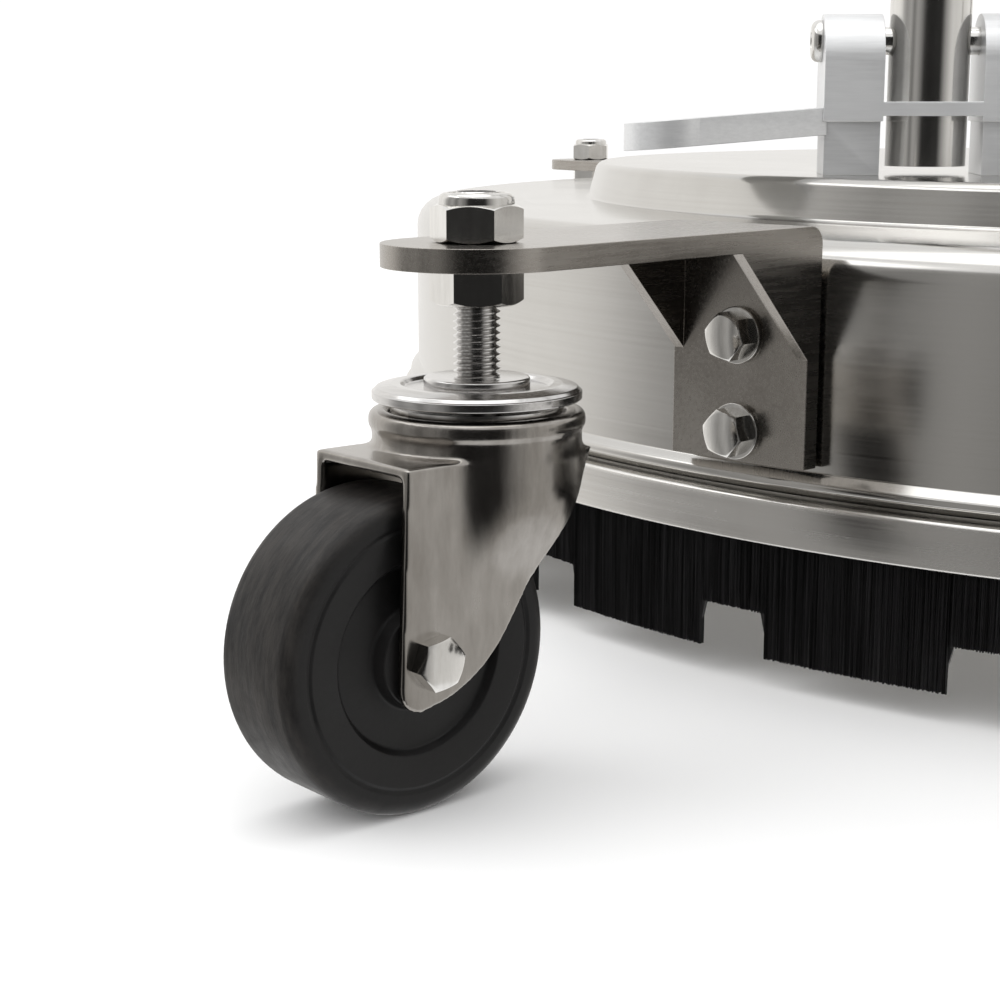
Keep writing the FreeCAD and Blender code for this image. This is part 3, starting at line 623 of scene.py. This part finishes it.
def caster_place(name):
    stem = centre(name + "_stem")
    hub = centre(name + "_wheel")
    heading = math.atan2(hub.y - stem.y, hub.x - stem.x)
    return Matrix.Translation((stem.x, stem.y, 0)) @ turn_z(heading)


def millimetre(matrix):
    """The same placement for points that are still in millimetres."""
    moved = matrix.copy()
    moved.translation = matrix.translation / MM
    return moved


def fork_flare(shell, sign):
    """The round crown's side flowing down into one flat cheek."""
    columns = 36
    levels = 18
    high = fork_top - 0.6
    low = 44.0
    full = 68.0
    span = 20.0
    blend_width = 2.6
    heel_x = 4.7
    heel_z = 37.6
    heel_slope = 0.65
    rings = []
    for i in range(columns + 1):
        outer = []
        for j in range(levels + 1):
            z = low + (high - low) * j / levels
            rear = max(-span, heel_x - (z - heel_z) * heel_slope)
            x = rear + (span - rear) * i / columns
            proud = math.sqrt(crown_r ** 2 - x * x) - fork_half
            bulge = (proud + math.sqrt(proud ** 2 + blend_width ** 2)) / 2
            bulge *= 1 - (max(0.0, x) / span) ** 8
            part = min(1.0, (z - low) / (full - low))
            fade = part * part * (3 - 2 * part)
            outer.append(Vector((x, sign * (fork_half - 0.1 + bulge * fade), z)))
        inner = [Vector((point.x, sign * (fork_half - 1.6), point.z)) for point in outer[::-1]]
        rings.append(outer + inner)
    made = skin(shell, rings, closed_along=False)
    shell.faces.new(made[0][::-1])
    shell.faces.new(made[-1])


for name in corners:
    place = caster_place(name)
    caster = name + "_caster"
    arm = arm_place(name)
    softened(name + "_arm", 0.5, arm)

    stem = screw_thread(bmesh.new(), stem_r, cap_high - 1.0, stem_top)
    spin(stem, [
        (0.0, cap_high - 1.1, 0), (race_r, cap_high - 1.1, 0), (race_r, race_top, 0.6),
        (stem_r - 0.9, race_top, 0), (stem_r - 0.9, race_top + 0.8, 0), (0.0, race_top + 0.8, 0),
    ], segments=64)
    spin(stem, [
        (0.0, 70.3, 0), (9.0, 70.3, 0.5), (9.0, 72.3, 0.5), (5.5, 72.3, 0),
        (5.1, cap_high - 0.8, 0), (0.0, cap_high - 0.8, 0),
    ], segments=48)
    piece(name + "_threaded_stem", stem, "deck", "race_steel", (name + "_stem",), place)

    fork = bmesh.new()
    fork.from_mesh(nodes[name + "_fork"].data)
    bmesh.ops.transform(fork, matrix=place.inverted(), verts=fork.verts)
    bmesh.ops.scale(fork, vec=(1 / MM, 1 / MM, 1 / MM), verts=fork.verts)
    for sign in (-1, 1):
        fork_flare(fork, sign)
    spin(fork, [
        (ring_bore_r, fork_top - 1.0, 0), (crown_r, fork_top - 1.0, 0), (crown_r, ring_low, 0.3),
        (ring_r, ring_low, 0.6), (ring_r, ring_high, 1.7), (ring_bore_r, ring_high, 0.5),
    ], 128)
    made = piece(name + "_pressed_fork", fork, caster, "fork_steel", (name + "_fork",), place)
    remesh = made.modifiers.new("one_skin", "REMESH")
    remesh.mode = "VOXEL"
    remesh.voxel_size = 0.55 * MM
    remesh.use_smooth_shade = True
    relax = made.modifiers.new("pressed_bends", "SMOOTH")
    relax.factor = 0.5
    relax.iterations = 12

    heading = place.to_quaternion().to_matrix().to_4x4()
    hub_place = (Matrix.Translation(centre(name + "_wheel")) @ heading
                 @ Matrix.Rotation(math.pi / 2, 4, "X"))
    wheel = spin(bmesh.new(), [
        (6.1, -13.2, 0.3), (10.5, -13.2, 0.5), (11.3, -9.8, 0.8), (19.9, -9.8, 0.9),
        (21.0, -11.7, 0.5), (27.6, -12.3, 0.6), (28.3, -11.9, 0.4), (29.2, -12.3, 0.4),
        (axle_z, -wheel_half, 3.2), (axle_z, wheel_half, 3.2),
        (29.2, 12.3, 0.4), (28.3, 11.9, 0.4), (27.6, 12.3, 0.6), (21.0, 11.7, 0.5),
        (19.9, 9.8, 0.9), (11.3, 9.8, 0.8), (10.5, 13.2, 0.5), (6.1, 13.2, 0.3),
    ], segments=128, steps=6)
    piece(name + "_tyre", wheel, name + "_wheel", "wheel_rubber", (name + "_wheel",), hub_place)

    trail = (centre(name + "_wheel") - centre(name + "_stem")).to_2d().length / MM
    bolt = hexagon(bmesh.new(), axle_flats, axle_head, 0.0,
                   along_y(trail, fork_half, axle_z, 1), 10, (False, True), bolt_face)
    spin(bolt, [(0, -0.2, 0), (4.9, -0.2, 0), (4.9, 0.1, 0), (0, 0.1, 0)], 48,
         along_y(trail, fork_half, axle_z, 1))
    spin(bolt, [(0, -40.0, 0), (shank_r, -40.0, 0.5), (shank_r, 1.0, 0), (0, 1.0, 0)], 48,
         along_y(trail, fork_half, axle_z, 1))
    piece(name + "_axle_bolt_piece", bolt, caster, "fastener_steel", (name + "_axle_bolt",), place)
    nut = hexagon(bmesh.new(), axle_nut_flats, axle_nut_height, 4.0,
                  along_y(trail, -fork_half, axle_z, -1), 20)
    piece(name + "_axle_nut_piece", nut, caster, "fastener_steel", (name + "_axle_nut",), place)

caps = bmesh.new()
lock_nuts = bmesh.new()
jam_nuts = bmesh.new()
arm_bolts = bmesh.new()
arm_washers = bmesh.new()
for name in corners:
    place = millimetre(caster_place(name))
    spin(caps, [
        (5.2, cap_low, 0), (cap_r, cap_low, 0.4), (cap_r, cap_band - 0.2, 0.2),
        (cap_r - 0.4, cap_band, 0.2), (cap_r - 1.0, cap_band + 0.7, 0.6),
        (cap_r - 4.2, cap_high, 1.4), (cap_r - 6.2, cap_high, 0.7),
        (cap_r - 7.0, cap_high - 1.0, 0.5), (5.2, cap_high - 1.0, 0),
    ], 128, place, steps=6)
    seat = place @ Matrix.Translation((0, 0, arm_top))
    hexagon(lock_nuts, nut_flats, 8.0, stem_r, seat, 12)
    spin(lock_nuts, [
        (stem_r, 7.6, 0), (8.1, 7.6, 0.2), (7.9, 10.4, 1.5), (6.2, 10.4, 0.3), (6.0, 9.6, 0.2),
        (stem_r, 9.6, 0),
    ], 72, seat, steps=6)
    hexagon(jam_nuts, nut_flats, 8.0, stem_r,
            place @ Matrix.Translation((0, 0, arm_top - arm_thick - 8.0)), 22)
    for height in bolt_heights:
        seat = arm_place(name) @ along_x(bolt_seat, height)
        hexagon(arm_bolts, bolt_flats, bolt_head, 0.0, seat, 17, (False, True), bolt_face)
        spin(arm_bolts, [(0, -23.0, 0), (shank_r, -23.0, 0.5), (shank_r, 1.0, 0), (0, 1.0, 0)],
             40, seat)
        spin(arm_washers, [(4.0, -1.6, 0.1), (7.1, -1.6, 0.2), (7.1, 0.0, 0.3), (4.0, 0.0, 0.2)],
             64, seat)
piece("race_caps", caps, "deck", "race_steel", ("swivel_caps",))
piece("lock_nuts", lock_nuts, "deck", "fastener_steel", ("stem_lock_nuts",))
piece("jam_nuts", jam_nuts, "deck", "fastener_steel", ("stem_jam_nuts",))
piece("bracket_bolts", arm_bolts, "deck", "fastener_steel", ("arm_bolts",))
piece("bracket_washers", arm_washers, "deck", "fastener_steel", ("arm_washers",))


# ---------------------------------------------------------------- mounts and handle

for side in ("left", "right"):
    softened("handle_mount_" + side, 0.9, segments=3)
    softened("grip_" + side, 0.35)

fork_low, fork_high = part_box("handle_fork")
leg_r = (fork_high.y - fork_low.y) / 2 / MM
leg_x = fork_high.x / MM - leg_r
leg_y = centre("handle_fork").y / MM
leg_foot = fork_low.z / MM
bend_r = 60.0
crossbar_z = fork_high.z / MM - leg_r


def leg_path():
    """Up one leg, round its bend, along the crossbar and down the other leg."""
    steps = 24
    half = [Vector((leg_x, leg_y, leg_foot)), Vector((leg_x, leg_y, crossbar_z - bend_r))]
    for k in range(1, steps + 1):
        angle = math.pi / 2 * k / steps
        half.append(Vector((leg_x - bend_r + bend_r * math.cos(angle), leg_y,
                            crossbar_z - bend_r + bend_r * math.sin(angle))))
    return half + [Vector((-spot.x, spot.y, spot.z)) for spot in half[::-1]]


legs = sweep(bmesh.new(), leg_path(), leg_r, leg_r - 1.6, 64)
piece("handle_legs", legs, "handle", "tube_steel", ("handle_fork",))

pivot = centre("pivot_bolts") / MM
clevis_half = 31.0
button_high = 3.2
pivot_reach = 32.0
pivot_tail_flats = 10.6
pivot_tail = 6.5
pivots = bmesh.new()
for way in (-1, 1):
    outwards = Matrix.Rotation(way * math.pi / 2, 4, "Y")
    middle = Matrix.Translation((way * leg_x, pivot.y, pivot.z)) @ outwards
    head = middle @ Matrix.Translation((0, 0, clevis_half))
    spin(pivots, [(0, 0, 0), (6.0, 0, 0.2), (6.0, button_high, 2.2), (2.6, button_high, 0.2),
                  (2.3, button_high - 1.6, 0.2), (0, button_high - 1.6, 0)], 64, head)
    tail = middle @ Matrix.Translation((0, 0, -clevis_half)) @ Matrix.Rotation(math.pi, 4, "X")
    hexagon(pivots, pivot_tail_flats, pivot_tail, 0.0, tail, 5, (False, True))
    spin(pivots, [(0, -pivot_reach, 0), (shank_r, -pivot_reach, 0), (shank_r, pivot_reach, 0),
                  (0, pivot_reach, 0)], 40, middle)
piece("pivot_bolt_pair", pivots, "deck", "fastener_steel", ("pivot_bolts",))

for node_name, width in (("swivel_body", 0.5), ("swivel_screws", 0.3), ("gun_body", 0.4),
                         ("rotor_hub", 0.6), ("spray_nozzle_left", 0.3),
                         ("spray_nozzle_right", 0.3), ("feed_pipe", 0.3)):
    softened(node_name, width)


# ---------------------------------------------------------------- floor, light and camera

def stage_mesh(name, spots, faces, material):
    mesh = bpy.data.meshes.new(name)
    mesh.from_pydata(spots, [], faces)
    mesh.materials.append(material)
    made = bpy.data.objects.new(name, mesh)
    bpy.context.scene.collection.objects.link(made)
    return made


def ring_spots(radius, z, count=96):
    turns = [2 * math.pi * k / count for k in range(count)]
    return [(radius * math.cos(turn), radius * math.sin(turn), z) for turn in turns]


paint = Surface("floor_paint", Specular_IOR_Level=0.1)
speckle = paint.noise(paint.flat_place(), (6.0, 6.0, 6.0))
floor_paint = paint.finish(paint.blend(speckle, (0.975, 0.975, 0.975), (0.985, 0.985, 0.985)), 0.9)
floor = stage_mesh("floor", ring_spots(30.0, 0.0), [list(range(96))], floor_paint)
floor.visible_glossy = False


def studio_card():
    """What the polished steel mirrors: a room of lighter and darker parts round the machine."""
    look = Surface("studio_card")
    split = look.node("ShaderNodeSeparateXYZ")
    look.feed(split.inputs[0], look.flat_place())
    angle = look.math("ARCTAN2", split.outputs[1], split.outputs[0])
    turn = look.spread(angle, 0.0, 1.0, -math.pi, math.pi)
    ramp = look.node("ShaderNodeValToRGB")
    look.feed(ramp.inputs[0], turn)
    stops = ((-180, 0.80), (-174, 0.52), (-164, 0.30), (-152, 0.46), (-143, 0.20), (-134, 0.42),
             (-124, 0.26), (-114, 0.035), (-98, 0.02), (-72, 0.03), (-58, 0.4), (-40, 0.75),
             (-5, 0.82), (30, 0.95), (150, 1.08), (168, 1.06), (177, 0.94), (180, 0.80))
    for azimuth, level in stops[1:-1]:
        ramp.color_ramp.elements.new((azimuth + 180) / 360)
    for element, (azimuth, level) in zip(ramp.color_ramp.elements, stops):
        element.color = (level, level * 0.985, level * 0.96, 1.0)
    glow = look.node("ShaderNodeEmission")
    look.feed(glow.inputs["Color"], ramp.outputs[0])
    look.tree.links.new(glow.outputs[0], look.tree.nodes["Material Output"].inputs["Surface"])
    return look.material


card_r = 1.5
card_low = -1.2
card_high = 1.1
card_count = 96
card_faces = [(k, (k + 1) % card_count, card_count + (k + 1) % card_count, card_count + k)
              for k in range(card_count)]
card = stage_mesh("studio_card", ring_spots(card_r, card_low) + ring_spots(card_r, card_high),
                  card_faces, studio_card())
card.visible_camera = False
card.visible_diffuse = False
card.visible_shadow = False
card.visible_transmission = False

world = bpy.data.worlds.new("studio")
bpy.context.scene.world = world
world.use_nodes = True
world.node_tree.nodes["Background"].inputs["Color"].default_value = (1.0, 1.0, 1.0, 1.0)
world.node_tree.nodes["Background"].inputs["Strength"].default_value = 1.06


def area_light(name, location, target, size, power):
    lamp = bpy.data.lights.new(name, "AREA")
    lamp.size = size
    lamp.energy = power
    made = bpy.data.objects.new(name, lamp)
    made.location = location
    aim = Vector(target) - Vector(location)
    made.rotation_euler = aim.to_track_quat("-Z", "Y").to_euler()
    made.visible_camera = False
    bpy.context.scene.collection.objects.link(made)


area_light("top_softbox", (-0.3, -0.2, 1.9), (0.0, 0.0, 0.1), 1.6, 9.0)
area_light("left_softbox", (-1.6, -0.3, 0.9), (-0.2, -0.2, 0.1), 1.2, 6.0)

lens = bpy.data.cameras.new("camera")
lens.lens = 69.23
lens.sensor_width = 36.0
lens.clip_start = 0.02
camera = bpy.data.objects.new("camera", lens)
camera.location = (-0.2107, -0.7149, 0.1457)
camera.rotation_euler = Vector((-0.0831, 0.9760, -0.2016)).to_track_quat("-Z", "Y").to_euler()
bpy.context.scene.collection.objects.link(camera)
bpy.context.scene.camera = camera
bpy.context.scene.view_settings.view_transform = "Standard"
